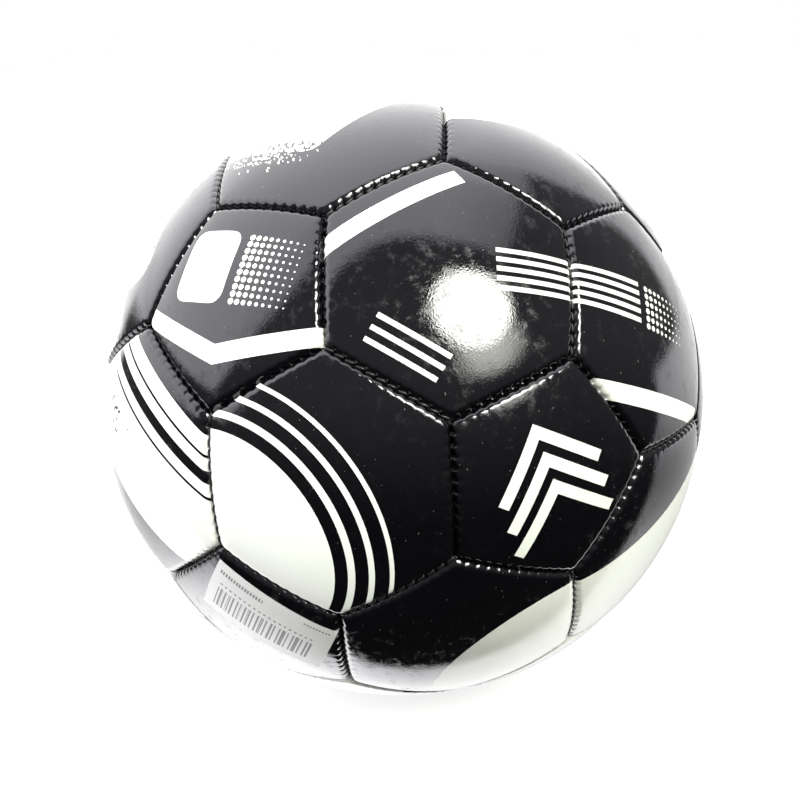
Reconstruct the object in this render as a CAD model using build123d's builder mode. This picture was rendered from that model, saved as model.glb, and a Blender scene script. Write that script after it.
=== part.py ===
"""A size 5 soccer ball: 32 stitched panels over a bladder with a removable valve insert.

The panels are the 12 pentagons and 20 hexagons of a truncated icosahedron. The ball's centre is the
origin, and X, Y and Z are its two-fold axes, each through the middle of a hexagon-hexagon seam.
Every panel is a cover whose edges turn in to be sewn, with foam and lining behind it.
"""

import os
from math import asin, cos, degrees, pi, sin, sqrt, tan

from build123d import *

# Panels, in millimetres
BALL_RADIUS = 110.0
COVER_THICKNESS = 1.2
SEAM_ALLOWANCE = 5.0
SEAM_HALF_GAP = 0.1
FOLD_RADIUS = 1.5
CORNER_RADIUS = 2.0
LAYER_GAP = 0.05
FOAM_THICKNESS = 2.0
LINING_THICKNESS = SEAM_ALLOWANCE - COVER_THICKNESS - FOAM_THICKNESS - 2 * LAYER_GAP

# Thread, which stands in the groove of each seam
THREAD_RADIUS = 0.3
THREAD_DEPTH = 0.6
THREAD_END_GAP = 1.0

# Bladder and valve, with the valve's heights measured from the ball's centre
BLADDER_GAP = 0.6
BLADDER_THICKNESS = 0.6
VALVE_HEXAGON = 1
VALVE_HOLE_RADIUS = 4.4
NECK_RADIUS = 4.2
NECK_TOP = BALL_RADIUS - 0.4
NECK_LENGTH = 18.0
RIM_FILLET = 0.4
FLANGE_RADIUS = 11.0
FLANGE_THICKNESS = 1.0
THROAT_RADIUS = 1.2
INSERT_RADIUS = 2.4
INSERT_LENGTH = 15.0
INSERT_CLEARANCE = 0.05
HEAD_RADIUS = 3.1
HEAD_THICKNESS = 1.2
NEEDLE_RADIUS = 1.0
NEEDLE_DEPTH = 12.0
NEEDLE_LEAD_IN = 0.4
PATCH_RADIUS = 14.0
PATCH_THICKNESS = 0.45

# Stock label on the outside of one pentagon, placed from that panel's centre
LABEL_PENTAGON = 12
LABEL_LENGTH = 45.5
LABEL_WIDTH = 27.0
LABEL_THICKNESS = 0.12
LABEL_CORNER = 0.8
LABEL_CENTRE = (-11.8, 1.6)
LABEL_TURN = 88.1

# Truncated icosahedron
GOLDEN = (1 + sqrt(5)) / 2
EDGE = 4 * BALL_RADIUS / sqrt(58 + 18 * sqrt(5))
SEAM_HALF_ANGLE = asin(EDGE / 2 / BALL_RADIUS)
WEDGE_LOW = 0.8 * BALL_RADIUS
WEDGE_HIGH = 1.1 * BALL_RADIUS

# How primitives stand: up from their place, down from it, and a sphere with its poles off +Z
UPWARDS = (Align.CENTER, Align.CENTER, Align.MIN)
DOWNWARDS = (Align.CENTER, Align.CENTER, Align.MAX)
POLES_ASIDE = (90, 0, 0)

FOAM_TOP = BALL_RADIUS - COVER_THICKNESS - LAYER_GAP
LINING_TOP = FOAM_TOP - FOAM_THICKNESS - LAYER_GAP
LINING_BOTTOM = BALL_RADIUS - SEAM_ALLOWANCE
PATCH_TOP = LINING_BOTTOM - LAYER_GAP
BLADDER_TOP = LINING_BOTTOM - BLADDER_GAP
BLADDER_BOTTOM = BLADDER_TOP - BLADDER_THICKNESS


def cyclic(x, y, z):
    """Directions with every sign of (x, y, z), in its three cyclic orders."""
    found = []
    for a, b, c in ((x, y, z), (y, z, x), (z, x, y)):
        for point in ((i * a, j * b, k * c) for i in (1, -1) for j in (1, -1) for k in (1, -1)):
            if point not in found:
                found.append(point)
    return [Vector(*point).normalized() for point in found]


def nearest(direction, others):
    """The directions among others that stand at the smallest angle from this one, itself left out."""
    apart = [(direction.get_angle(other), other) for other in others]
    least = min(angle for angle, _ in apart if angle > 1)
    return [other for angle, other in apart if 1 < angle < least + 1]


def polygon_radius(sides, height):
    """Distance from a panel's side to its axis at that height over the ball's centre."""
    corner = asin(EDGE / (2 * sin(pi / sides)) / BALL_RADIUS)
    return height * tan(corner) * cos(pi / sides)


def wedge(sides, inset, outer_radius, inner_radius, corner_radius=0):
    """A panel-shaped piece of the ball between two radii, on +Z, with its sides set in."""
    with BuildPart() as piece:
        for height in (WEDGE_LOW, WEDGE_HIGH):
            with BuildSketch(Plane.XY.offset(height)) as outline:
                RegularPolygon(polygon_radius(sides, height) - inset, sides, major_radius=False)
                if corner_radius:
                    fillet(outline.vertices(), corner_radius)
        loft()
        Sphere(outer_radius, rotation=POLES_ASIDE, mode=Mode.INTERSECT)
        Sphere(inner_radius, rotation=POLES_ASIDE, mode=Mode.SUBTRACT)
    return piece.part


def cover(sides):
    """A cover on +Z: the outside skin and the seam allowance turned in all round it."""
    pocket = wedge(sides, SEAM_HALF_GAP + COVER_THICKNESS, BALL_RADIUS - COVER_THICKNESS, WEDGE_LOW)
    with BuildPart() as piece:
        add(wedge(sides, SEAM_HALF_GAP, BALL_RADIUS, LINING_BOTTOM, CORNER_RADIUS))
        outside = piece.faces().filter_by(GeomType.SPHERE).sort_by(SortBy.AREA)[-1]
        fillet(outside.edges(), FOLD_RADIUS)
        add(pocket, mode=Mode.SUBTRACT)
    return piece.part


def backing(sides, outer_radius, inner_radius):
    """A foam pad or a lining on +Z, which fits inside a cover's turned-in edges."""
    return wedge(sides, SEAM_HALF_GAP + COVER_THICKNESS + LAYER_GAP, outer_radius, inner_radius)


def write(piece, name):
    """Labels a finished piece and writes its STEP."""
    piece.part.label = name
    export_step(piece.part, f"parts/{name}.step")


def write_group(name, planes, prototype, valve_plane=None):
    """Writes copies of one solid as one node, with the valve's hole through them if a plane is given."""
    with BuildPart() as group:
        with Locations(*planes):
            add(prototype)
        if valve_plane:
            with Locations(valve_plane):
                Cylinder(VALVE_HOLE_RADIUS, WEDGE_HIGH, align=UPWARDS, mode=Mode.SUBTRACT)
    write(group, name)


os.makedirs("parts", exist_ok=True)

# Panel planes: z out through the panel's centre and x towards one of its corners
pentagons = cyclic(0, 1, GOLDEN)
hexagons = cyclic(1, 1, 1) + cyclic(0, GOLDEN, 1 / GOLDEN)
pentagon_planes = []
for centre in pentagons:
    corner = nearest(centre, pentagons)[0]
    pentagon_planes.append(Plane((0, 0, 0), x_dir=corner - centre * centre.dot(corner), z_dir=centre))
hexagon_planes = []
for centre in hexagons:
    pentagon = nearest(centre, pentagons)[0]
    hexagon_planes.append(Plane((0, 0, 0), x_dir=centre.cross(pentagon), z_dir=centre))
valve_plane = hexagon_planes[VALVE_HEXAGON - 1]
valve_axis = Axis(valve_plane.origin, valve_plane.z_dir)
label_plane = pentagon_planes[LABEL_PENTAGON - 1]

# Covers, each a node of its own
for sides, kind, planes in ((5, "pentagon", pentagon_planes), (6, "hexagon", hexagon_planes)):
    outline = cover(sides)
    for number, plane in enumerate(planes, start=1):
        with BuildPart(plane) as panel:
            add(outline)
            if plane is valve_plane:
                Cylinder(VALVE_HOLE_RADIUS, WEDGE_HIGH, align=UPWARDS, mode=Mode.SUBTRACT)
        write(panel, f"{kind}_panel_{number:02d}")

# Foam and lining behind the covers, one group for each shape and layer
pentagon_foam = backing(5, FOAM_TOP, LINING_TOP + LAYER_GAP)
hexagon_foam = backing(6, FOAM_TOP, LINING_TOP + LAYER_GAP)
pentagon_lining = backing(5, LINING_TOP, LINING_BOTTOM)
hexagon_lining = backing(6, LINING_TOP, LINING_BOTTOM)
write_group("pentagon_foam_pads", pentagon_planes, pentagon_foam)
write_group("hexagon_foam_pads", hexagon_planes, hexagon_foam, valve_plane)
write_group("pentagon_linings", pentagon_planes, pentagon_lining)
write_group("hexagon_linings", hexagon_planes, hexagon_lining, valve_plane)

# Seam planes: z out through the middle of the seam and x along it. A seam's ends lie a third of the
# way from one pentagon's centre to the next.
pentagon_seams = []
hexagon_seams = []
for first in pentagons:
    around = nearest(first, pentagons)
    for second in around:
        start = (first * 2 + second).normalized()
        end = (second * 2 + first).normalized()
        if pentagons.index(first) < pentagons.index(second):
            hexagon_seams.append(Plane((0, 0, 0), x_dir=end - start, z_dir=start + end))
        for third in nearest(second, around):
            end = (first * 2 + third).normalized()
            if pentagons.index(second) < pentagons.index(third):
                pentagon_seams.append(Plane((0, 0, 0), x_dir=end - start, z_dir=start + end))

# Thread: one length in the groove of each seam, which stops short of the corners
thread_angle = degrees(SEAM_HALF_ANGLE - THREAD_END_GAP / BALL_RADIUS)
with BuildPart() as thread:
    with BuildSketch(Plane.YZ.rotated((0, -thread_angle, 0))):
        with Locations((0, BALL_RADIUS - THREAD_DEPTH)):
            Circle(THREAD_RADIUS)
    revolve(axis=Axis.Y, revolution_arc=2 * thread_angle)
write_group("pentagon_seam_threads", pentagon_seams, thread.part)
write_group("hexagon_seam_threads", hexagon_seams, thread.part)
print("seams", len(pentagon_seams), len(hexagon_seams), "thread", thread.part.bounding_box().size)

# Bladder, with a hole for the valve's neck
with BuildPart(valve_plane) as bladder:
    Sphere(BLADDER_TOP, rotation=POLES_ASIDE)
    Sphere(BLADDER_BOTTOM, rotation=POLES_ASIDE, mode=Mode.SUBTRACT)
    Cylinder(NECK_RADIUS, WEDGE_HIGH, align=UPWARDS, mode=Mode.SUBTRACT)
write(bladder, "bladder")

# Valve body: a flange bonded under the bladder, and a neck up through the layers to the surface
with BuildPart(valve_plane) as valve_body:
    Cylinder(FLANGE_RADIUS, WEDGE_HIGH, align=UPWARDS)
    Sphere(BLADDER_BOTTOM, rotation=POLES_ASIDE, mode=Mode.INTERSECT)
    Sphere(BLADDER_BOTTOM - FLANGE_THICKNESS, rotation=POLES_ASIDE, mode=Mode.SUBTRACT)
    with Locations((0, 0, NECK_TOP)):
        Cylinder(NECK_RADIUS, NECK_LENGTH, align=DOWNWARDS)
    rim = valve_body.edges().filter_by(GeomType.CIRCLE).sort_by(valve_axis)[-1]
    fillet(rim, RIM_FILLET)
    with Locations((0, 0, NECK_TOP)):
        CounterBoreHole(
            INSERT_RADIUS + INSERT_CLEARANCE,
            HEAD_RADIUS + INSERT_CLEARANCE,
            HEAD_THICKNESS + INSERT_CLEARANCE,
            depth=INSERT_LENGTH + INSERT_CLEARANCE,
        )
        Hole(THROAT_RADIUS, depth=NECK_LENGTH)
write(valve_body, "valve_body")

# Valve insert: a headed plug with a blind needle channel, pulled straight out for service
with BuildPart(valve_plane) as valve_insert:
    with Locations((0, 0, NECK_TOP)):
        Cylinder(INSERT_RADIUS, INSERT_LENGTH, align=DOWNWARDS)
        Cylinder(HEAD_RADIUS, HEAD_THICKNESS, align=DOWNWARDS)
        Hole(NEEDLE_RADIUS, depth=NEEDLE_DEPTH)
    top_edges = valve_insert.edges().filter_by(GeomType.CIRCLE).sort_by(valve_axis)[-2:]
    chamfer(top_edges.sort_by(SortBy.LENGTH)[0], NEEDLE_LEAD_IN)
write(valve_insert, "valve_insert")

# Patch: a ring glued inside the lining, round the valve's neck
with BuildPart(valve_plane) as valve_patch:
    Cylinder(PATCH_RADIUS, WEDGE_HIGH, align=UPWARDS)
    Sphere(PATCH_TOP, rotation=POLES_ASIDE, mode=Mode.INTERSECT)
    Sphere(PATCH_TOP - PATCH_THICKNESS, rotation=POLES_ASIDE, mode=Mode.SUBTRACT)
    Cylinder(VALVE_HOLE_RADIUS, WEDGE_HIGH, align=UPWARDS, mode=Mode.SUBTRACT)
write(valve_patch, "valve_patch")

# Stock label, curved to the ball and stuck on the outside
with BuildPart(label_plane) as stock_label:
    with BuildSketch(label_plane):
        with Locations(Location(LABEL_CENTRE, LABEL_TURN)):
            RectangleRounded(LABEL_LENGTH, LABEL_WIDTH, LABEL_CORNER)
    extrude(amount=WEDGE_HIGH)
    Sphere(BALL_RADIUS + LAYER_GAP + LABEL_THICKNESS, rotation=POLES_ASIDE, mode=Mode.INTERSECT)
    Sphere(BALL_RADIUS + LAYER_GAP, rotation=POLES_ASIDE, mode=Mode.SUBTRACT)
write(stock_label, "stock_label")
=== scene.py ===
"""Looks of the soccer ball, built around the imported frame.

Each cover panel is one closed mesh: a puffed outside with its ink cut in as faces, and edges that turn in
to the seams. Artwork is drawn in a panel's own flat coordinates, in millimetres, with +Y towards a named
neighbour and the panel's straight edges EDGE long.
"""

import math

import bpy
import numpy as np
from mathutils import Matrix, Vector
from mathutils.geometry import delaunay_2d_cdt


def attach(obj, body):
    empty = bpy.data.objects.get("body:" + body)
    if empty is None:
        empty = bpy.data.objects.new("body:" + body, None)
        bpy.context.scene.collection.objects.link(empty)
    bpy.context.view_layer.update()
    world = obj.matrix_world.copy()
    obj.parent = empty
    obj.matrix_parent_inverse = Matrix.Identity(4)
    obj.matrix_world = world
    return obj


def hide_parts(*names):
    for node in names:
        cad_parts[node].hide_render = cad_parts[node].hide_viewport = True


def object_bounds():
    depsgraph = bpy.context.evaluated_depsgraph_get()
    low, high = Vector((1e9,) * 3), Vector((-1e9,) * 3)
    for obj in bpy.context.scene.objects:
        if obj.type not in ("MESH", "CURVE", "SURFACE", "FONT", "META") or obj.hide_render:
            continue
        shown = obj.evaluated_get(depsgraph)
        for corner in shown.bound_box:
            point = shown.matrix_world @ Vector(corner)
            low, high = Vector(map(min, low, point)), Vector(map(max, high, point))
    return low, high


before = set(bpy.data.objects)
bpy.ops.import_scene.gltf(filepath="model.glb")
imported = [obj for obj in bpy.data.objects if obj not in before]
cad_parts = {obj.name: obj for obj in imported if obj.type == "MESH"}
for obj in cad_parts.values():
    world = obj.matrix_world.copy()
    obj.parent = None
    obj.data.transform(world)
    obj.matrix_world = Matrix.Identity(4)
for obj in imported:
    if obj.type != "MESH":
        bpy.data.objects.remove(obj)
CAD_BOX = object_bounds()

MM = 0.001
GOLDEN = (1 + math.sqrt(5)) / 2

# Ball and panels, in millimetres
BALL_RADIUS = round(max(max(map(abs, corner)) for corner in CAD_BOX) / MM)
EDGE = 4 * BALL_RADIUS / math.sqrt(58 + 18 * math.sqrt(5))
SIDES = {"pentagon": 5, "hexagon": 6}
FLANGE_RADIUS = BALL_RADIUS - 5.0
SKIN_RADIUS = BALL_RADIUS - 1.2
SKIN_INSET = 1.3
SEAM_GAP = 0.06

# Shape of a panel's edge
FOLD_WIDTH = 2.5
FOLD_DEPTH = 2.5
SHOULDER_DROP = 0.75
SHOULDER_REACH = 5.0
STITCHES_PER_EDGE = 12
PUCKER_DEPTH = 0.27
PUCKER_REACH = 1.1
EDGE_ROWS = (0.22, 0.5, 0.85, 1.25, 1.7, 2.2, 2.8, 3.6, 4.7)
GRID_STEP = 2.2


# ---------------------------------------------------------------- panel frames

def cyclic(x, y, z):
    """Directions with every sign of (x, y, z), in its three cyclic orders, as the nodes are numbered."""
    found = []
    for a, b, c in ((x, y, z), (y, z, x), (z, x, y)):
        for point in ((i * a, j * b, k * c) for i in (1, -1) for j in (1, -1) for k in (1, -1)):
            if point not in found:
                found.append(point)
    return [Vector(point).normalized() for point in found]


def panel_centres():
    """Each panel node's name and the direction of its centre."""
    centres = {}
    for number, centre in enumerate(cyclic(0, 1, GOLDEN), start=1):
        centres[f"pentagon_panel_{number:02d}"] = centre
    for number, centre in enumerate(cyclic(1, 1, 1) + cyclic(0, GOLDEN, 1 / GOLDEN), start=1):
        centres[f"hexagon_panel_{number:02d}"] = centre
    return centres


CENTRES = panel_centres()


class Panel:
    """One panel's flat coordinates, in millimetres, and where they lie on the ball."""

    def __init__(self, name, up):
        self.name = name
        self.sides = SIDES[name.split("_")[0]]
        self.z = CENTRES[name]
        toward = CENTRES[up]
        self.y = (toward - self.z * toward.dot(self.z)).normalized()
        self.x = self.y.cross(self.z)
        self.corner = EDGE / 2 / math.sin(math.pi / self.sides)
        self.apothem = self.corner * math.cos(math.pi / self.sides)
        self.height = math.sqrt(BALL_RADIUS ** 2 - self.corner ** 2)
        self.slant = math.hypot(self.height, self.apothem)
        turns = [math.pi / 2 + 2 * math.pi * side / self.sides for side in range(self.sides)]
        self.across = np.array([(math.cos(turn), math.sin(turn)) for turn in turns])
        self.along = np.array([(-math.sin(turn), math.cos(turn)) for turn in turns])
        self.axes = np.array([self.x, self.y, self.z])

    def directions(self, uv):
        """Unit directions from the ball's centre through flat points."""
        rays = np.column_stack([uv, np.full(len(uv), self.height)]) @ self.axes
        return rays / np.linalg.norm(rays, axis=1)[:, None]

    def seam_distances(self, uv):
        """Distance along the ball from each flat point to each side's seam."""
        length = np.sqrt((uv ** 2).sum(1) + self.height ** 2)
        inset = self.apothem - uv @ self.across.T
        return BALL_RADIUS * self.height * inset / self.slant / length[:, None]

    def seam_places(self, uv):
        """How far along each side's seam each flat point is, from the middle of that seam."""
        reach = np.hypot(uv @ self.across.T, self.height)
        return BALL_RADIUS * np.arctan2(uv @ self.along.T, reach)

    def at_seam(self, side, distance, share):
        """Flat points at a distance from one side's seam, share of the way along from its middle."""
        along_edge = share * EDGE / 2
        ray = np.sqrt(self.slant ** 2 + along_edge ** 2)
        inset = distance * self.slant * ray / BALL_RADIUS / self.height
        reach = EDGE / 2 - inset * math.tan(math.pi / self.sides)
        outward = self.across[side] * (self.apothem - inset)[:, None]
        return outward + self.along[side] * (share * reach)[:, None]


# ---------------------------------------------------------------- panel surface

SEAM_LENGTH = 2 * BALL_RADIUS * math.asin(EDGE / 2 / BALL_RADIUS)
PITCH = SEAM_LENGTH / STITCHES_PER_EDGE
CORNER_BLEND = 1.5
PUCKER_FADE = (1.2, 3.6)
PUCKER_SHARPNESS = 2.4
NORMAL_STEP = 0.03


def smooth_step(low, high, value):
    share = np.clip((value - low) / (high - low), 0, 1)
    return share * share * (3 - 2 * share)


def panel_radius(panel, uv):
    """Height of a panel's outside over the ball's centre: puffed, and folded down at the stitched seams."""
    distances = panel.seam_distances(uv)
    nearest = distances.min(1)
    weights = np.exp(-CORNER_BLEND * (distances - nearest[:, None]))
    distance = nearest - np.log(weights.sum(1)) / CORNER_BLEND
    places = panel.seam_places(uv)
    fade = smooth_step(*PUCKER_FADE, SEAM_LENGTH / 2 - np.abs(places))
    pull = (0.5 + 0.5 * np.cos(2 * math.pi * places / PITCH)) ** PUCKER_SHARPNESS * fade
    pull = (pull * weights).sum(1) / weights.sum(1) * np.exp(-np.maximum(distance, 0) / PUCKER_REACH)
    pulled = np.maximum(distance - 2 * PUCKER_DEPTH * pull, 0)
    share = np.clip(pulled / FOLD_WIDTH, 0, 1)
    fold = FOLD_DEPTH * (1 - np.sqrt(share * (2 - share)))
    shoulder = SHOULDER_DROP * np.exp(-pulled / SHOULDER_REACH)
    return BALL_RADIUS - fold - shoulder - PUCKER_DEPTH * pull


def panel_surface(panel, uv):
    """Points of a panel's outside, in millimetres, and their normals."""
    def place(points):
        return panel.directions(points) * panel_radius(panel, points)[:, None]

    middle = place(uv)
    across = place(uv + [NORMAL_STEP, 0]) - place(uv - [NORMAL_STEP, 0])
    along = place(uv + [0, NORMAL_STEP]) - place(uv - [0, NORMAL_STEP])
    normals = np.cross(across, along)
    return middle, normals / np.linalg.norm(normals, axis=1)[:, None]


# ---------------------------------------------------------------- drawing on a flat panel

BLACK, WHITE = "black", "white"


def curve(points, step=1.0):
    """A smooth line through a few points."""
    points = np.array(points, float)
    ends = np.vstack([2 * points[0] - points[1], points, 2 * points[-1] - points[-2]])
    line = []
    for a, b, c, d in zip(ends, ends[1:], ends[2:], ends[3:]):
        steps = max(2, int(np.linalg.norm(c - b) / step))
        for t in np.arange(steps)[:, None] / steps:
            bend = 2 * a - 5 * b + 4 * c - d
            line.append((2 * b + (c - a) * t + bend * t ** 2 + (3 * b - a - 3 * c + d) * t ** 3) / 2)
    return np.vstack(line + [points[-1:]])


def ribbon(points, widths, smooth=True):
    """The outline of a stripe along a line of points, with its width at each of them."""
    points = np.array(points, float)
    table = np.column_stack([points, np.broadcast_to(widths, len(points))])
    table = curve(table) if smooth and len(points) > 2 else table
    line = table[:, :2]
    half = np.maximum(table[:, 2:], 0.02) / 2
    ahead = np.diff(line, axis=0)
    ahead /= np.linalg.norm(ahead, axis=1)[:, None]
    before = np.vstack([ahead[:1], ahead])
    after = np.vstack([ahead, ahead[-1:]])
    mitre = before + after
    mitre /= np.maximum((mitre ** 2).sum(1), 0.5)[:, None] / 2
    side = np.column_stack([-mitre[:, 1], mitre[:, 0]])
    return np.vstack([line + side * half, (line - side * half)[::-1]])


def rounded(points, radius=0.0):
    """A closed outline with its corners rounded."""
    corners = [np.array(point, float) for point in points]
    if radius <= 0:
        return np.array(corners)
    line = []
    for index, corner in enumerate(corners):
        back = corners[index - 1] - corner
        ahead = corners[(index + 1) % len(corners)] - corner
        limit = 0.45 * min(np.linalg.norm(back), np.linalg.norm(ahead))
        back /= np.linalg.norm(back)
        ahead /= np.linalg.norm(ahead)
        half_angle = math.acos(np.clip(back @ ahead, -1, 1)) / 2
        reach = min(radius / math.tan(half_angle), limit)
        for t in np.linspace(0, 1, 9):
            line.append(corner + back * reach * (1 - t) ** 2 + ahead * reach * t ** 2)
    return np.array(line)


def disc(centre, radius, points=10):
    turns = np.arange(points) * 2 * math.pi / points
    return np.array(centre) + radius * np.column_stack([np.cos(turns), np.sin(turns)])


def inside(outline, points):
    """Which points lie inside a closed outline."""
    result = np.zeros(len(points), bool)
    low, high = outline.min(0), outline.max(0)
    near = np.flatnonzero(((points >= low) & (points <= high)).all(1))
    if not len(near):
        return result
    x, y = points[near, 0][:, None], points[near, 1][:, None]
    (x0, y0), (x1, y1) = outline.T, np.roll(outline, -1, 0).T
    rise = np.where(y1 == y0, 1e-12, y1 - y0)
    crosses = ((y0 > y) != (y1 > y)) & (x < x0 + (x1 - x0) * (y - y0) / rise)
    result[near] = crosses.sum(1) % 2 == 1
    return result


def fade_dots(origin, across, up, columns, rows, size):
    """Dots on a slanted lattice; size gives a dot's radius from its column and row."""
    dots = []
    for row in range(rows):
        for column in range(columns):
            radius = size(column, row)
            if radius > 0.12:
                centre = np.array(origin) + np.array(across) * column + np.array(up) * row
                dots.append(disc(centre, radius))
    return dots


def splatter(seed, centre, spread, count, lean, sizes=(0.25, 0.9)):
    """Small leaning flecks scattered round a place, the same on every run."""
    random = np.random.default_rng(seed)
    flecks = []
    for _ in range(count):
        middle = np.array(centre) + random.normal(0, 1, 2) * spread
        length = random.uniform(*sizes) * 1.8
        turn = lean + random.normal(0, 0.25)
        shape = disc((0, 0), 1, 9) * [length, length * random.uniform(0.25, 0.5)]
        shape *= random.uniform(0.8, 1.15, (9, 1))
        turned = shape @ [[math.cos(turn), math.sin(turn)], [-math.sin(turn), math.cos(turn)]]
        flecks.append(middle + turned)
    return flecks


# ---------------------------------------------------------------- artwork of each panel

STRIPE_SHARES = [0.325 + 0.066 * line for line in range(5)]
HEX_CORNER = EDGE * np.array([0.5, math.sqrt(3) / 2])
SEAM_RUN = HEX_CORNER * [1, -1]
SEAM_INWARD = np.array([-math.sqrt(3) / 2, -0.5])


def crossing_stripes(corner, inward, length):
    """Five plain stripes square to a seam that starts at a corner, so two panels can share them."""
    seams_crossed = [corner + share * SEAM_RUN for share in STRIPE_SHARES]
    return [(WHITE, ribbon([seam - inward * 5, seam + inward * length], 1.5)) for seam in seams_crossed]


def flecked(ink, *splatters):
    """Flecks of one ink, from the settings of each splatter."""
    return [(ink, fleck) for settings in splatters for fleck in splatter(*settings)]


def art_band_and_stripes():
    """Hexagon: a broad straight band, five stripes that run over a seam, and three short bars."""
    art = [(WHITE, ribbon([(-48.0, -30.0), (-14.0, 32.0)], 6.0))]
    art += crossing_stripes(HEX_CORNER, SEAM_INWARD, 26.0)
    for bar in range(3):
        art.append((WHITE, ribbon([(-12.0, -22.0 - 4.0 * bar), (12.0, -22.0 - 4.0 * bar)], 1.6)))
    return art


def art_stripes_and_dots():
    """Hexagon: the five stripes go on, end in a block of fading dots, and meet a broad band."""
    art = crossing_stripes(np.array([-EDGE, 0.0]), -SEAM_INWARD, 28.0)
    for dot in fade_dots((-3.5, -7.5), (2.1, 1.2), (-1.2, 2.1), 9, 6, lambda c, r: 0.95 - 0.09 * c):
        art.append((WHITE, dot))
    art.append((WHITE, ribbon([(-10.0, -40.0), (40.0, -4.0)], 6.0)))
    return art


def art_block_and_halftone():
    """Pentagon: a rounded white block beside fading dots, over one broad chevron."""
    art = [(WHITE, rounded([(-22.0, 20.0), (-2.0, 20.0), (-2.0, -4.0), (-22.0, -4.0)], 5))]
    for dot in fade_dots((2.0, 18.0), (2.3, 0.0), (0.0, -2.3), 9, 10, lambda c, r: 1.0 - 0.09 * c):
        art.append((WHITE, dot))
    art.append((WHITE, ribbon([(-38.0, -8.0), (0.0, -19.0), (38.0, -8.0)], 6.0, smooth=False)))
    return art


def art_chevrons():
    """Pentagon: three plain chevrons, one under another."""
    return [(WHITE, ribbon([(-17.0, -1.0 - 9.0 * row), (0.0, 16.0 - 9.0 * row), (17.0, -1.0 - 9.0 * row)],
                           3.6, smooth=False)) for row in range(3)]


def art_rings():
    """Hexagon: a round white field about one corner, with three rings beyond it."""
    centre = -HEX_CORNER
    turns = np.linspace(-0.2, 2.3, 15)
    arc = np.column_stack([np.cos(turns), np.sin(turns)])
    art = [(WHITE, disc(centre, 40.0, 96))]
    for ring_number in range(3):
        art.append((WHITE, ribbon(centre + arc * (45.0 + 6.0 * ring_number), 2.2 - 0.4 * ring_number)))
    return art


def art_field_and_bars():
    """Hexagon: a white field with three dark bars along one side, worn at a corner."""
    art = [(WHITE, rounded([(-50.0, 32.0), (50.0, 32.0), (50.0, -18.0), (-50.0, -18.0)]))]
    for height, thickness in ((26.0, 0.9), (20.0, 3.6), (14.0, 0.9)):
        art.append((BLACK, ribbon([(-50.0, height), (50.0, height)], thickness)))
    return art + flecked(BLACK, (13, (-25.0, 2.0), (7.0, 4.4), 100, 0.75, (0.2, 0.7)))


def art_worn_side():
    """Hexagon: one side white behind a straight worn edge."""
    art = [(WHITE, rounded([(-50.0, -14.0), (4.0, -14.0), (12.0, 42.0), (-50.0, 42.0)], 6))]
    art += flecked(BLACK, (21, (-6.0, -12.0), (9.0, 2.2), 90, 2.1, (0.2, 0.7)))
    return art + flecked(WHITE, (22, (-12.0, -17.0), (9.0, 2.4), 110, 2.4, (0.15, 0.6)))


def art_far_strip():
    """Pentagon: a plain white strip along the far side."""
    return [(WHITE, rounded([(-50.0, 14.0), (50.0, 14.0), (50.0, 50.0), (-50.0, 50.0)]))]


def art_worn_patch():
    """Hexagon: a wide white patch, worn along one side."""
    art = [(WHITE, rounded([(-50.0, -18.0), (16.0, -18.0), (12.0, 42.0), (-50.0, 42.0)], 8))]
    return art + flecked(BLACK, (31, (14.0, -10.0), (4.6, 4.0), 60, 2.5, (0.2, 0.8)))


def art_round_field():
    """Hexagon: the edge of a large white disc."""
    return [(WHITE, disc((44.0, -6.0), 46.0, 96))]


def art_field_below_line():
    """Hexagon: a white field under one slanting line."""
    return [(WHITE, rounded([(-50.0, -8.0), (50.0, 36.0), (50.0, -50.0), (-50.0, -50.0)]))]


def art_half_field():
    """Pentagon or hexagon: one side of the panel white."""
    return [(WHITE, rounded([(-50.0, -8.0), (-10.0, -2.0), (12.0, 8.0), (50.0, 30.0), (50.0, 50.0),
                             (-50.0, 50.0)], 9))]


def art_plain():
    """No print."""
    return []


# Each panel in view and the neighbour that its artwork's +Y points to
FRONT_ART = {
    "hexagon_panel_07": ("pentagon_panel_03", art_band_and_stripes),
    "hexagon_panel_11": ("hexagon_panel_03", art_stripes_and_dots),
    "pentagon_panel_11": ("hexagon_panel_19", art_block_and_halftone),
    "pentagon_panel_08": ("hexagon_panel_07", art_chevrons),
    "hexagon_panel_16": ("hexagon_panel_07", art_rings),
    "hexagon_panel_15": ("pentagon_panel_11", art_field_and_bars),
    "hexagon_panel_19": ("hexagon_panel_17", art_worn_side),
    "pentagon_panel_03": ("hexagon_panel_17", art_far_strip),
    "hexagon_panel_05": ("pentagon_panel_01", art_worn_patch),
    "hexagon_panel_08": ("pentagon_panel_08", art_round_field),
    "hexagon_panel_12": ("hexagon_panel_11", art_field_below_line),
    "pentagon_panel_12": ("hexagon_panel_16", art_plain),
    "hexagon_panel_20": ("pentagon_panel_12", art_half_field),
    "hexagon_panel_06": ("hexagon_panel_15", art_half_field),
    "hexagon_panel_17": ("hexagon_panel_19", art_half_field),
    "pentagon_panel_01": ("hexagon_panel_19", art_half_field),
    "hexagon_panel_03": ("pentagon_panel_06", art_half_field),
    "pentagon_panel_04": ("hexagon_panel_12", art_half_field),
    "pentagon_panel_06": ("hexagon_panel_11", art_plain),
    "pentagon_panel_07": ("hexagon_panel_15", art_worn_patch),
}


def half_turned(name):
    """The panel that a half turn about Z puts in this one's place."""
    target = CENTRES[name].copy()
    target.x, target.y = -target.x, -target.y
    return min(CENTRES, key=lambda other: (CENTRES[other] - target).length)


def all_art():
    """The artwork repeats on the far side of the ball, half a turn about Z away."""
    table = dict(FRONT_ART)
    for name, (up, art) in FRONT_ART.items():
        table.setdefault(half_turned(name), (half_turned(up), art))
    return table


# ---------------------------------------------------------------- panel meshes

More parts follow.
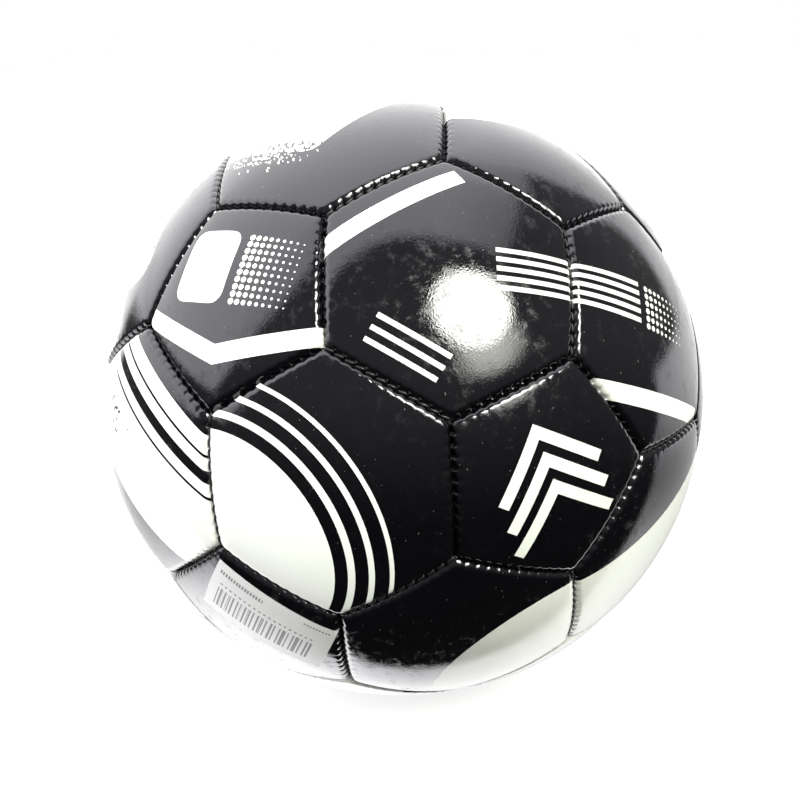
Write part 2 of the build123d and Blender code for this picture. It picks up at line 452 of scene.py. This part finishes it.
COLUMNS = 72
BORDER_COLUMNS = 48
FLANGE_INSET = 1.25
HOLE_RADIUS = 4.4
SAME_POINT = 0.01
FLANGE_TOP_RADIUS = BALL_RADIUS - 2.6
INKS = (BLACK, WHITE)


def triangulate(points, loops):
    """Triangles between flat points, with each loop of points kept as edges."""
    edges = []
    flat = [Vector(p) for p in points]
    for loop, closed in loops:
        start = len(flat)
        flat += [Vector(p) for p in loop]
        edges += [(start + i, start + i + 1) for i in range(len(loop) - 1)]
        if closed:
            edges.append((start + len(loop) - 1, start))
    found, _, faces, *_ = delaunay_2d_cdt(flat, edges, [], 0, 1e-5, False)
    return np.array([tuple(p) for p in found]), np.array([tuple(f) for f in faces if len(f) == 3])


def resampled(outline, panel):
    """An art outline as open runs of points, close enough to bend over the panel, finer beside the seams."""
    runs = [[]]
    closed = np.vstack([outline, outline[:1]])
    for start, end in zip(closed, closed[1:]):
        length = np.linalg.norm(end - start)
        coarse = np.linspace(0, 1, max(2, int(length / 1.5) + 2))
        places = start + (end - start) * coarse[:, None]
        for a, b in zip(places, places[1:]):
            depth = panel.seam_distances(np.array([a, b])).min(1)
            if max(depth) < -0.5:
                if runs[-1]:
                    runs[-1].append(a)
                    runs.append([])
                continue
            parts = max(1, math.ceil(np.linalg.norm(b - a) / 0.4)) if min(depth) < 3 else 1
            runs[-1] += [a + (b - a) * step / parts for step in range(parts)]
    if runs[-1]:
        runs[-1].append(closed[-1])
    return [np.array(run) for run in runs if len(run) > 1]


def distance_to_runs(points, runs, limit):
    """Which points are within a limit of any run of points."""
    near = np.zeros(len(points), bool)
    for run in runs:
        low, high = run.min(0) - limit, run.max(0) + limit
        some = np.flatnonzero(((points >= low) & (points <= high)).all(1) & ~near)
        if not len(some):
            continue
        starts, steps = run[:-1], np.diff(run, axis=0)
        lengths = np.maximum((steps ** 2).sum(1), 1e-12)
        for chunk in np.array_split(some, max(1, len(some) * len(starts) // 400000 + 1)):
            offset = points[chunk][:, None] - starts
            share = np.clip((offset * steps).sum(2) / lengths, 0, 1)
            gap = np.linalg.norm(offset - share[..., None] * steps, axis=2).min(1)
            near[chunk] |= gap < limit
    return near


def ring(panel, distance, columns):
    """Points all the way round a panel at one distance from its seams."""
    shares = np.linspace(-1, 1, columns, endpoint=False)
    return np.vstack([panel.at_seam(side, distance, shares) for side in range(panel.sides)])


def outer_sheet(panel, art, hole):
    """Flat points, triangles and the ink of each for a panel's outside, and its border loops."""
    border = ring(panel, SEAM_GAP, BORDER_COLUMNS)
    runs = [run for _, outline in art for run in resampled(outline, panel)]
    rows = np.vstack([ring(panel, row, COLUMNS) for row in EDGE_ROWS])
    rows = rows[~distance_to_runs(rows, runs, 0.15)]
    span = np.arange(-24, 25)
    grid = np.array([(GRID_STEP * (i + 0.5 * (j % 2)), GRID_STEP * j * 0.866) for i in span for j in span])
    grid = grid[panel.seam_distances(grid).min(1) > EDGE_ROWS[-1] + 0.9]
    grid = grid[~distance_to_runs(grid, runs, 0.35)]
    loops = [(border, True)] + [(run, False) for run in runs]
    if hole:
        loops.append((disc((0, 0), hole, 48), True))
        grid = grid[np.linalg.norm(grid, axis=1) > hole + 0.5]
        grid = np.vstack([grid, disc((0, 0), hole + 0.5, 48)])
    flat, faces = triangulate(np.vstack([rows, grid]), loops)
    middles = flat[faces].mean(1)
    kept = inside(border, middles)
    if hole:
        kept &= ~inside(loops[-1][0], middles)
    faces, middles = faces[kept], middles[kept]
    inks = np.zeros(len(faces), int)
    for ink, outline in art:
        inks[inside(outline, middles)] = INKS.index(ink)
    corners = flat[faces]
    first, second = corners[:, 1] - corners[:, 0], corners[:, 2] - corners[:, 0]
    turned = first[:, 0] * second[:, 1] - first[:, 1] * second[:, 0] < 0
    faces[turned] = faces[turned][:, ::-1]
    return flat, faces, inks


def open_loops(faces):
    """The loops of edges that only one triangle uses, each in order."""
    edges = np.vstack([faces[:, [0, 1]], faces[:, [1, 2]], faces[:, [2, 0]]])
    used = {tuple(edge) for edge in edges.tolist()}
    following = {a: b for a, b in used if (b, a) not in used}
    loops = []
    while following:
        start, here = following.popitem()
        loop = [start]
        while here != start:
            loop.append(here)
            here = following.pop(here)
        loops.append(loop)
    return loops


def build_panel(panel, art, hole=0.0):
    """One closed cover panel: outside, turned-in edges and inner skin."""
    flat, faces, inks = outer_sheet(panel, art, hole)
    used = np.unique(faces)
    renumber = np.full(len(flat), -1)
    renumber[used] = np.arange(len(used))
    flat, faces = flat[used], renumber[faces]
    points, normals = panel_surface(panel, flat)
    points, normals, faces, inks = list(points), list(normals), faces.tolist(), inks.tolist()
    loops = open_loops(np.array(faces))
    loops.sort(key=len)
    rim = loops[-1]

    def add(uv, radii):
        start = len(points)
        directions = panel.directions(np.array(uv))
        points.extend(directions * np.broadcast_to(radii, len(uv))[:, None])
        normals.extend(-directions)
        return list(range(start, len(points)))

    def bridge(upper, lower):
        """Wall between two loops that go the same way round."""
        for i in range(len(upper)):
            j = (i + 1) % len(upper)
            faces.extend([[upper[j], upper[i], lower[i]], [upper[j], lower[i], lower[j]]])
            inks.extend([0, 0])

    rim_uv = flat[rim]
    shrink_to = []
    for inset in (FLANGE_INSET, FLANGE_INSET, SKIN_INSET):
        scale = 1 - inset / (panel.apothem * BALL_RADIUS / panel.slant)
        shrink_to.append((rim_uv * scale).astype(np.float32).astype(float))
    levels = [add(rim_uv, FLANGE_RADIUS), add(shrink_to[0], FLANGE_RADIUS),
              add(shrink_to[1], FLANGE_TOP_RADIUS), add(shrink_to[2], SKIN_RADIUS)]
    bridge(rim, levels[0])
    for upper, lower in zip(levels, levels[1:]):
        bridge(upper, lower)
    inner = levels[-1]
    inner_loops = [(shrink_to[2], True)]
    if hole:
        hole_loop = loops[0]
        hole_low = add(flat[hole_loop], SKIN_RADIUS)
        bridge(hole_loop, hole_low)
        inner_loops.append((flat[hole_loop], True))
    span = np.arange(-8, 9)
    grid = np.array([(6.0 * (i + 0.5 * (j % 2)), 5.2 * j) for i in span for j in span])
    grid = grid[panel.seam_distances(grid).min(1) > SKIN_INSET + 3]
    if hole:
        grid = grid[np.linalg.norm(grid, axis=1) > hole + 2]
    cap, cap_faces = triangulate(grid, inner_loops)
    middles = cap[cap_faces].mean(1)
    kept = inside(shrink_to[2], middles)
    if hole:
        kept &= ~inside(flat[hole_loop], middles)
    rims, rim_index = shrink_to[2], list(inner)
    if hole:
        rims, rim_index = np.vstack([rims, flat[hole_loop]]), rim_index + hole_low
    cap_index = []
    for uv in cap:
        gaps = np.linalg.norm(rims - uv, axis=1)
        if gaps.min() < SAME_POINT:
            cap_index.append(rim_index[gaps.argmin()])
        else:
            cap_index.append(add([uv], SKIN_RADIUS)[0])
    for a, b, c in cap_faces[kept]:
        first, second = cap[b] - cap[a], cap[c] - cap[a]
        ahead = first[0] * second[1] - first[1] * second[0] > 0
        faces.append([cap_index[v] for v in ((c, b, a) if ahead else (a, b, c))])
        inks.append(0)
    return np.array(points) * MM, np.array(faces), np.array(inks), np.array(normals)


def new_object(name, points, faces, inks=None, normals=None, materials=()):
    mesh = bpy.data.meshes.new(name)
    mesh.from_pydata([tuple(p) for p in points], [], [tuple(f) for f in faces])
    for material in materials:
        mesh.materials.append(material)
    if inks is not None:
        mesh.polygons.foreach_set("material_index", np.array(inks, np.int32))
    mesh.shade_smooth()
    if normals is not None:
        mesh.normals_split_custom_set_from_vertices([tuple(n) for n in normals])
    thing = bpy.data.objects.new(name, mesh)
    bpy.context.scene.collection.objects.link(thing)
    return thing


# ---------------------------------------------------------------- materials

def new_material(name, colour, roughness):
    """A Principled material and the node tree to add to."""
    material = bpy.data.materials.new(name)
    material.use_nodes = True
    shader = material.node_tree.nodes["Principled BSDF"]
    shader.inputs["Base Color"].default_value = (*colour, 1)
    shader.inputs["Roughness"].default_value = roughness
    return material


def add_node(tree, kind, inputs=(), **settings):
    """A node with its settings, and with its inputs linked or set."""
    node = tree.nodes.new(kind)
    for key, value in settings.items():
        setattr(node, key, value)
    for key, value in dict(inputs).items():
        if isinstance(value, bpy.types.NodeSocket):
            tree.links.new(value, node.inputs[key])
        else:
            node.inputs[key].default_value = value
    return node


def object_place(tree):
    return add_node(tree, "ShaderNodeTexCoord").outputs["Object"]


def noise(tree, place, scale, detail=3.0, roughness=0.55):
    """Noise with its grain given in features per metre."""
    inputs = {"Vector": place, "Scale": scale, "Detail": detail, "Roughness": roughness}
    return add_node(tree, "ShaderNodeTexNoise", inputs).outputs["Fac"]


def spread(tree, value, low, high, to_low, to_high):
    """A value mapped smoothly from one range to another."""
    inputs = {"Value": value, "From Min": low, "From Max": high, "To Min": to_low, "To Max": to_high}
    return add_node(tree, "ShaderNodeMapRange", inputs, interpolation_type="SMOOTHSTEP").outputs["Result"]


def blend_colours(tree, factor, first, second):
    inputs = {0: factor, 6: (*first, 1), 7: (*second, 1)}
    return add_node(tree, "ShaderNodeMix", inputs, data_type="RGBA").outputs[2]


def add_bumps(material, layers):
    """Stacks bump layers of (height, distance in metres, strength)."""
    tree = material.node_tree
    shader = tree.nodes["Principled BSDF"]
    normal = None
    for height, distance, strength in layers:
        inputs = {"Height": height, "Distance": distance, "Strength": strength}
        if normal:
            inputs["Normal"] = normal
        normal = add_node(tree, "ShaderNodeBump", inputs).outputs["Normal"]
    tree.links.new(normal, shader.inputs["Normal"])


def drive(material, socket, output):
    material.node_tree.links.new(output, material.node_tree.nodes["Principled BSDF"].inputs[socket])


def coated_cover(name, dark, light, gloss, index):
    """Coated synthetic leather: a fine pebble, faint handling marks, cloudy gloss and a little dust."""
    material = new_material(name, light, gloss[0])
    material.node_tree.nodes["Principled BSDF"].inputs["IOR"].default_value = index
    tree = material.node_tree
    place = object_place(tree)
    clouds = noise(tree, place, 130, 7, 0.66)
    pebble = noise(tree, place, 1500, 2, 0.5)
    waves = noise(tree, place, 45, 2, 0.4)
    dust = spread(tree, noise(tree, place, 1100, 1, 0.5), 0.76, 0.82, 0.0, 0.5)
    inked = blend_colours(tree, clouds, dark, light)
    dusting = {0: dust, 6: inked, 7: (0.3, 0.3, 0.29, 1)}
    dusty = add_node(tree, "ShaderNodeMix", dusting, data_type="RGBA").outputs[2]
    drive(material, "Base Color", dusty)
    patches = noise(tree, place, 210, 8, 0.72)
    drive(material, "Roughness", spread(tree, patches, 0.47, 0.66, *gloss))
    add_bumps(material, [(waves, 0.0012, 0.10), (pebble, 0.00007, 0.40)])
    return material


def speckled(name, colours, roughness, scale, bump):
    """A plain moulded or foamed material with a fine speckle."""
    material = new_material(name, colours[0], roughness)
    tree = material.node_tree
    grain = noise(tree, object_place(tree), scale, 4, 0.6)
    drive(material, "Base Color", blend_colours(tree, grain, *colours))
    drive(material, "Roughness", spread(tree, grain, 0.3, 0.7, roughness * 0.85, min(1, roughness * 1.15)))
    add_bumps(material, [(grain, bump, 0.5)])
    return material


def woven(name, colours, thread_pitch):
    """Woven backing cloth: two crossed sets of threads."""
    material = new_material(name, colours[0], 0.85)
    tree = material.node_tree
    place = object_place(tree)
    waves = []
    for direction in ("X", "Y"):
        inputs = {"Vector": place, "Scale": 0.16 / thread_pitch, "Distortion": 0.4}
        waves.append(add_node(tree, "ShaderNodeTexWave", inputs, bands_direction=direction).outputs["Fac"])
    weave = add_node(tree, "ShaderNodeMath", {0: waves[0], 1: waves[1]}, operation="MAXIMUM").outputs[0]
    drive(material, "Base Color", blend_colours(tree, weave, *colours))
    add_bumps(material, [(weave, 0.0001, 0.6)])
    return material


BLACK_INK = coated_cover("cover_black", (0.0010, 0.0010, 0.0016), (0.0030, 0.0030, 0.0042),
                         (0.05, 0.30), 1.65)
BLACK_INK.node_tree.nodes["Principled BSDF"].inputs["Specular Tint"].default_value = (0.93, 0.92, 1, 1)
WHITE_INK = coated_cover("cover_white_print", (0.80, 0.815, 0.79), (0.86, 0.875, 0.85), (0.12, 0.24), 1.5)
MATERIALS = {
    "thread": speckled("waxed_black_thread", ((0.006, 0.006, 0.007), (0.02, 0.02, 0.022)),
                       0.42, 2600, 0.00008),
    "foam": speckled("cushion_foam", ((0.62, 0.60, 0.55), (0.80, 0.78, 0.73)), 0.9, 1400, 0.0003),
    "lining": woven("backing_cloth", ((0.36, 0.34, 0.30), (0.72, 0.70, 0.64)), 0.0007),
    "bladder": speckled("bladder_rubber", ((0.012, 0.012, 0.013), (0.03, 0.03, 0.031)), 0.5, 500, 0.00012),
    "patch": woven("patch_cloth", ((0.30, 0.28, 0.25), (0.60, 0.58, 0.52)), 0.0006),
    "valve_rubber": speckled("valve_rubber", ((0.02, 0.02, 0.021), (0.04, 0.04, 0.041)),
                             0.55, 1800, 0.00005),
    "insert_rubber": speckled("insert_rubber", ((0.035, 0.035, 0.036), (0.06, 0.06, 0.061)),
                              0.45, 2200, 0.00004),
}
LABEL_PAPER = speckled("label_paper", ((0.66, 0.66, 0.67), (0.76, 0.76, 0.77)), 0.38, 900, 0.00003)
LABEL_PRINT = speckled("label_print", ((0.15, 0.15, 0.16), (0.24, 0.24, 0.25)), 0.5, 1500, 0.00002)


# ---------------------------------------------------------------- cover panels

def add_piece(thing, slot, *nodes):
    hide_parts(*nodes)
    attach(thing, "ball")
    return thing


VALVE_PANEL = "hexagon_panel_01"

for panel_name, (panel_up, panel_art) in sorted(all_art().items()):
    hole_radius = HOLE_RADIUS if panel_name == VALVE_PANEL else 0.0
    mesh_data = build_panel(Panel(panel_name, panel_up), panel_art(), hole_radius)
    cover = new_object("cover_" + panel_name, *mesh_data, materials=(BLACK_INK, WHITE_INK))
    add_piece(cover, "cover", panel_name)


# ---------------------------------------------------------------- stitches

STITCH_RADIUS = 0.44
STITCH_LENGTH = 3.3
STITCH_DEPTH = 1.75
STITCH_SLANT = math.radians(9)
ROUND = 8
TWISTS = 2.5


def seams():
    """Both ends of every seam, with the two panels that meet there."""
    found = {"pentagon": [], "hexagon": []}
    names = sorted(CENTRES)
    for index, first in enumerate(names):
        for second in names[index + 1:]:
            gap = math.degrees(CENTRES[first].angle(CENTRES[second]))
            if gap > 42.5 or (first[0] == second[0] == "p"):
                continue
            kind = "hexagon" if first[0] == second[0] else "pentagon"
            normal = CENTRES[second] - CENTRES[first]
            found[kind].append((CENTRES[first], CENTRES[second], normal.normalized()))
    return found


def stitch(middle, along, across, outward):
    """One twisted stitch of thread with rounded ends."""
    rings = 13
    points, faces = [], []
    for step in range(rings):
        t = step / (rings - 1) * 2 - 1
        size = STITCH_RADIUS * math.sqrt(max(0.02, 1 - abs(t) ** 5))
        sag = 0.35 * t * t
        for turn in range(ROUND):
            angle = 2 * math.pi * turn / ROUND
            lobe = size * (1 + 0.13 * math.cos(2 * (angle - TWISTS * math.pi * t)))
            point = middle + along * (t * STITCH_LENGTH / 2) - outward * sag
            points.append(point + across * (lobe * math.cos(angle)) + outward * (lobe * math.sin(angle)))
    for step in range(rings - 1):
        for turn in range(ROUND):
            a, b = step * ROUND + turn, step * ROUND + (turn + 1) % ROUND
            faces.append([a, a + ROUND, b + ROUND, b])
    faces.append(list(range(ROUND)))
    faces.append([(rings - 1) * ROUND + turn for turn in reversed(range(ROUND))])
    return points, faces


def seam_stitches(seam_list):
    points, faces = [], []
    for first, second, normal in seam_list:
        middle = (first + second)
        middle = (middle - normal * middle.dot(normal)).normalized()
        along = normal.cross(middle).normalized()
        for index in range(STITCHES_PER_EDGE):
            angle = (index + 0.5 - STITCHES_PER_EDGE / 2) * PITCH / BALL_RADIUS
            outward = middle * math.cos(angle) + along * math.sin(angle)
            forward = along * math.cos(angle) - middle * math.sin(angle)
            slanted = forward * math.cos(STITCH_SLANT) + normal * math.sin(STITCH_SLANT)
            across = outward.cross(slanted)
            start = len(points)
            new_points, new_faces = stitch(outward * (BALL_RADIUS - STITCH_DEPTH), slanted, across, outward)
            points += new_points
            faces += [[start + corner for corner in face] for face in new_faces]
    return np.array([tuple(p) for p in points]) * MM, faces


for kind, seam_list in seams().items():
    sewn = new_object(kind + "_seam_stitches", *seam_stitches(seam_list), materials=(MATERIALS["thread"],))
    add_piece(sewn, "thread", kind + "_seam_threads")


# ---------------------------------------------------------------- stock label

LABEL_PANEL = Panel("pentagon_panel_12", "hexagon_panel_16")
LABEL_CORNERS = np.array([(-19.9, 26.6), (23.9, 23.4), (23.2, -3.1), (-19.6, -1.8)])
LABEL_COLUMNS, LABEL_ROWS = 400, 32
LABEL_THICKNESS = 0.12


def label_ink(across, down):
    """Generic print: a block of upright bars, a row of small blocks above it and two short rows."""
    bars = math.sin(176 * across) + 0.7 * math.sin(287 * across + 1.2) + 0.4 * math.sin(61 * across) > 0.1
    blocks = math.sin(260 * across) > -0.35
    if 0.08 < across < 0.87 and 0.44 < down < 0.84:
        return bars
    if 0.07 < across < 0.88 and 0.33 < down < 0.39:
        return math.sin(150 * across) > 0.1
    if 0.04 < across < 0.42 and 0.13 < down < 0.18:
        return blocks
    return 0.74 < across < 0.96 and 0.09 < down < 0.14 and blocks


def build_label():
    across = np.linspace(0, 1, LABEL_COLUMNS + 1)
    down = np.linspace(0, 1, LABEL_ROWS + 1)
    table = np.array([(a, d) for d in down for a in across])
    a, d = table[:, :1], table[:, 1:]
    top_left, top_right, low_right, low_left = LABEL_CORNERS
    uv = (1 - d) * ((1 - a) * top_left + a * top_right) + d * ((1 - a) * low_left + a * low_right)
    middle, normals = panel_surface(LABEL_PANEL, uv)
    front = middle + normals * LABEL_THICKNESS
    count = len(uv)
    width = LABEL_COLUMNS + 1
    faces, inks = [], []
    for row in range(LABEL_ROWS):
        for column in range(LABEL_COLUMNS):
            here = row * width + column
            quad = [here, here + width, here + width + 1, here + 1]
            faces += [quad, [count + v for v in reversed(quad)]]
            place = ((column + 0.5) / LABEL_COLUMNS, (row + 0.5) / LABEL_ROWS)
            inks += [int(label_ink(*place)), 0]
    rim = list(range(width)) + [r * width + width - 1 for r in range(1, LABEL_ROWS + 1)]
    rim += [LABEL_ROWS * width + c for c in range(width - 2, -1, -1)]
    rim += [r * width for r in range(LABEL_ROWS - 1, 0, -1)]
    for here, after in zip(rim, rim[1:] + rim[:1]):
        faces.append([here, after, count + after, count + here])
        inks.append(0)
    points = np.vstack([front, middle + normals * 0.01]) * MM
    return new_object("printed_label", points, faces, inks, np.vstack([normals, -normals]),
                      (LABEL_PAPER, LABEL_PRINT))


add_piece(build_label(), "label", "stock_label")


# ---------------------------------------------------------------- CAD nodes that stay

KEPT_NODES = {
    "hexagon_foam_pads": "foam", "pentagon_foam_pads": "foam",
    "hexagon_linings": "lining", "pentagon_linings": "lining",
    "bladder": "bladder", "valve_patch": "patch",
    "valve_body": "valve_rubber", "valve_insert": "insert_rubber",
}
for node_name, slot_name in KEPT_NODES.items():
    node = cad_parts[node_name]
    node.data.materials.clear()
    node.data.materials.append(MATERIALS[slot_name])


# ---------------------------------------------------------------- floor, light and camera

FORWARD = Vector((0.8255, 0.5643, 0)).normalized()
RIGHTWARD = FORWARD.cross(Vector((0, 0, 1)))

# Round lamps: place as (turn, height) and soft edge as (dark, full), in degrees, then strength
KEY_PLACE, KEY_EDGE, KEY_STRENGTH = (145.5, 42.5), (14.5, 13), 26.0
GLOW_PLACE, GLOW_EDGE, GLOW_STRENGTH = (144, 28), (16, 3), 7.5
CEILING_STRENGTH, BACKDROP_STRENGTH = 2.4, 2.8

# Fill light: place in degrees, distance and size in metres, power in watts
FILL_PLACE, FILL_DISTANCE, FILL_SIZE, FILL_WATTS = (-112, 9), 0.9, 0.5, 5.4

# Half the floor's width and the camera's distance in metres, its roll in degrees and its lens in millimetres
FLOOR_SIZE = 6.0
CAMERA_DISTANCE, CAMERA_ROLL, CAMERA_LENS = 0.5056, 2.41, 60.57


def floor_plane(name, colour, glow, drop):
    corners = [(-FLOOR_SIZE, -FLOOR_SIZE), (FLOOR_SIZE, -FLOOR_SIZE),
               (FLOOR_SIZE, FLOOR_SIZE), (-FLOOR_SIZE, FLOOR_SIZE)]
    floor = new_object(name, [(x, y, -BALL_RADIUS * MM - drop) for x, y in corners], [[0, 1, 2, 3]])
    material = new_material(name, (colour,) * 3, 0.8)
    shader = material.node_tree.nodes["Principled BSDF"]
    shader.inputs["Emission Color"].default_value = (1, 1, 1, 1)
    shader.inputs["Emission Strength"].default_value = glow
    floor.data.materials.append(material)
    floor.visible_glossy = False
    return floor


def build_floor():
    """A pale floor that is seen, over a darker one that sets how much light comes up from below."""
    seen = floor_plane("studio_floor", 0.35, 0.80, 0.0)
    seen.visible_diffuse = False
    seen.visible_shadow = False
    bounce = floor_plane("studio_floor_bounce", 0.03, 0.0, 0.001)
    bounce.visible_camera = False


def build_fill():
    """A soft light low on the left, for the white print on that side; it leaves no reflection."""
    lamp = bpy.data.lights.new("left_fill", "AREA")
    lamp.shape = "DISK"
    lamp.size = FILL_SIZE
    lamp.energy = FILL_WATTS
    fill = bpy.data.objects.new("left_fill", lamp)
    bpy.context.scene.collection.objects.link(fill)
    fill.location = direction_of(*FILL_PLACE) * FILL_DISTANCE
    fill.rotation_euler = fill.location.to_track_quat("Z", "Y").to_euler()
    fill.visible_glossy = False
    fill.visible_camera = False


def direction_of(rel, elevation):
    """A direction from its turn to the right of straight ahead and its height, in degrees."""
    turn, rise = math.radians(rel), math.radians(elevation)
    flat = FORWARD * math.cos(turn) + RIGHTWARD * math.sin(turn)
    return flat * math.cos(rise) + Vector((0, 0, 1)) * math.sin(rise)


def build_light():
    """A soft studio: a box overhead, a pale backdrop, one small key light and a dark room in front."""
    world = bpy.data.worlds.new("studio")
    bpy.context.scene.world = world
    world.use_nodes = True
    tree = world.node_tree
    place = add_node(tree, "ShaderNodeTexCoord").outputs["Generated"]

    def dot(direction):
        return add_node(tree, "ShaderNodeVectorMath", {0: place, 1: tuple(direction)},
                        operation="DOT_PRODUCT").outputs["Value"]

    def math_node(operation, first, second=0.0):
        return add_node(tree, "ShaderNodeMath", {0: first, 1: second}, operation=operation).outputs[0]

    def product(*values):
        result = values[0]
        for value in values[1:]:
            result = math_node("MULTIPLY", result, value)
        return result

    def step(value, low, high):
        return spread(tree, value, low, high, 0.0, 1.0)

    def drop(value, low, high):
        return spread(tree, value, low, high, 1.0, 0.0)

    def round_lamp(place_of, edge_angles, strength):
        dark, full = (math.cos(math.radians(angle)) for angle in edge_angles)
        return product(step(dot(direction_of(*place_of)), dark, full), strength)

    up, ahead, right = dot((0, 0, 1)), dot(FORWARD), dot(RIGHTWARD)
    turn = math_node("ARCTAN2", right, ahead)

    # The box overhead, with a straight front edge that leans back on the left
    height = math_node("MAXIMUM", up, 0.01)
    depth, side = math_node("DIVIDE", ahead, height), math_node("DIVIDE", right, height)
    edge = math_node("ADD", depth, product(math_node("MAXIMUM", product(side, -1.0), 0.0), 0.35))
    rightward = spread(tree, right, 0.2, 0.6, 1.0, 0.62)
    ceiling = product(rightward, step(edge, -0.29, -0.26), drop(side, 0.64, 0.78), step(up, 0.05, 0.12),
                      CEILING_STRENGTH)

    # The backdrop's upper part ends at the left above a dark band, and at the right
    left_low = product(drop(turn, math.radians(-48), math.radians(-38)), drop(up, 0.16, 0.24))
    above = product(rightward, step(turn, math.radians(-116), math.radians(-108)),
                    drop(turn, math.radians(44), math.radians(50)),
                    step(up, -0.03, 0.0), math_node("SUBTRACT", 1.0, left_low), BACKDROP_STRENGTH)

    # Its lower part and the pale table behind the ball
    level = spread(tree, up, -0.42, -0.08, 0.75, 1.8)
    steep = spread(tree, up, -0.9, -0.42, 2.1, 0.0)
    leftward = math_node("MAXIMUM", product(right, -1.0), 0.0)
    reach = math_node("ADD", ahead, product(leftward, 0.25))
    below = product(step(reach, 0.24, 0.28), drop(up, -0.03, 0.0), math_node("ADD", level, steep),
                    math_node("ADD", 1.0, product(leftward, 1.8)),
                    math_node("SUBTRACT", 1.0, product(left_low, step(up, -0.40, -0.25))))

    # A small key light with a softer glow under it, and the dim room in front
    key = round_lamp(KEY_PLACE, KEY_EDGE, KEY_STRENGTH)
    glow = round_lamp(GLOW_PLACE, GLOW_EDGE, GLOW_STRENGTH)
    front = spread(tree, up, -0.6, 0.5, 0.02, 0.28)
    total = math_node("MAXIMUM", math_node("MAXIMUM", ceiling, above), math_node("MAXIMUM", below, front))
    lamps = math_node("MAXIMUM", key, glow)
    colour = blend_colours(tree, spread(tree, lamps, 0.0, 2.0, 0.0, 1.0), (1, 1, 1), (0.98, 1.0, 0.86))
    strength = math_node("ADD", total, lamps)
    lit = add_node(tree, "ShaderNodeBackground", {"Color": colour, "Strength": strength})
    seen = add_node(tree, "ShaderNodeBackground", {"Color": (1, 1, 1, 1), "Strength": 1.0})
    is_camera = add_node(tree, "ShaderNodeLightPath").outputs["Is Camera Ray"]
    mixed = add_node(tree, "ShaderNodeMixShader", {0: is_camera, 1: lit.outputs[0], 2: seen.outputs[0]})
    tree.links.new(mixed.outputs[0], tree.nodes["World Output"].inputs["Surface"])


def build_camera():
    back = Vector((-0.7938, -0.5427, 0.2743)).normalized()
    lens = bpy.data.cameras.new("camera")
    lens.lens = CAMERA_LENS
    lens.sensor_width = 36.0
    lens.shift_x = -0.0041
    lens.shift_y = -0.0051
    lens.clip_start = 0.01
    camera = bpy.data.objects.new("camera", lens)
    bpy.context.scene.collection.objects.link(camera)
    camera.rotation_mode = "QUATERNION"
    level = (-back).to_track_quat("-Z", "Y")
    roll = Matrix.Rotation(math.radians(CAMERA_ROLL), 3, -back).to_quaternion()
    camera.rotation_quaternion = roll @ level
    camera.location = back * CAMERA_DISTANCE
    bpy.context.scene.camera = camera


build_floor()
build_light()
build_fill()
build_camera()
bpy.context.scene.view_settings.view_transform = "Standard"

bpy.context.view_layer.update()
